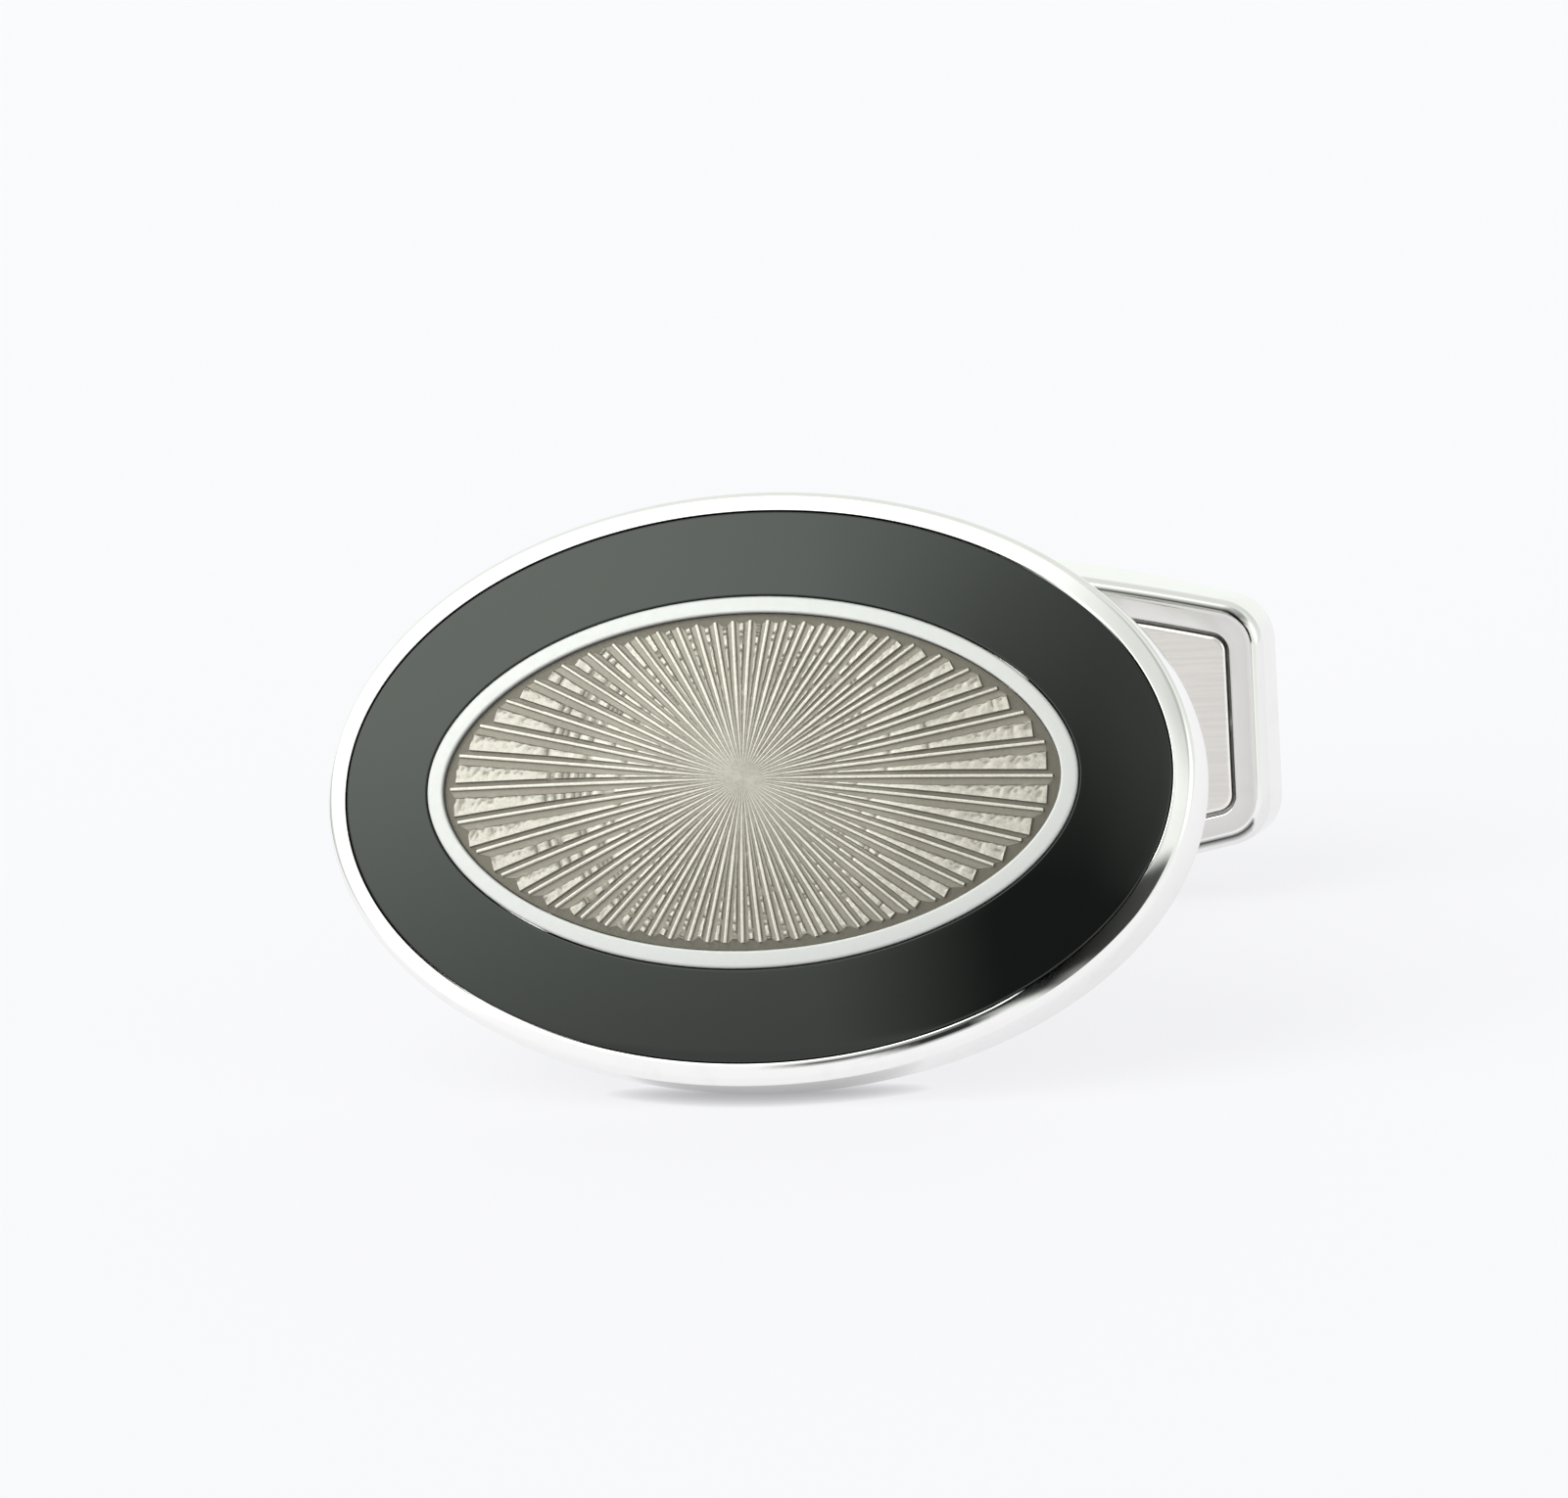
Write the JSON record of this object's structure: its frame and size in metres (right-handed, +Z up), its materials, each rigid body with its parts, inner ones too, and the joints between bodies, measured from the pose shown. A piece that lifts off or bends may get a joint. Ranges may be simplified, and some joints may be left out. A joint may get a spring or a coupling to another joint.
{
  "type": "cufflink",
  "caption": "Oval cufflink: crowned face with a black enamel band round a struck sunburst, and a slanted post with a swivelling, spring-held toggle that locks it in a shirt cuff.",
  "frame": {"origin": "on the table under the middle of the part's box, as the cufflink lies on the lower edges of its head and its toggle", "axes": "+X along the long axis of the oval face, +Y from the face to the toggle, +Z up"},
  "size_m": [0.02, 0.0218, 0.0128],
  "materials": {
    "polished_plate": "mirror-polished silver-tone plating on base metal",
    "black_enamel": "glossy black enamel, polished flush with the rim",
    "struck_sunburst": "struck rays with a fine satin grain, silver-tone plating",
    "spring_steel": "bare spring steel strip"
  },
  "bodies": {
    "head": {"head_case": "polished_plate", "enamel_band": "black_enamel", "inner_ring": "polished_plate", "sunburst_plate": "struck_sunburst", "post_pad": "polished_plate", "stem": "polished_plate"},
    "toggle": {"toggle_shell": "polished_plate", "toggle_cover": "polished_plate", "pivot_pin": "polished_plate", "detent_spring": "spring_steel"}
  },
  "joints": [
    {"name": "toggle_swivel", "type": "hinge", "parent": "head", "child": "toggle", "pos_m": [0, 0.00835, 0.00409], "axis": [0, 0.1254, 0.9921], "range_deg": [0, 90], "deforming": ["detent_spring"]}
  ]
}
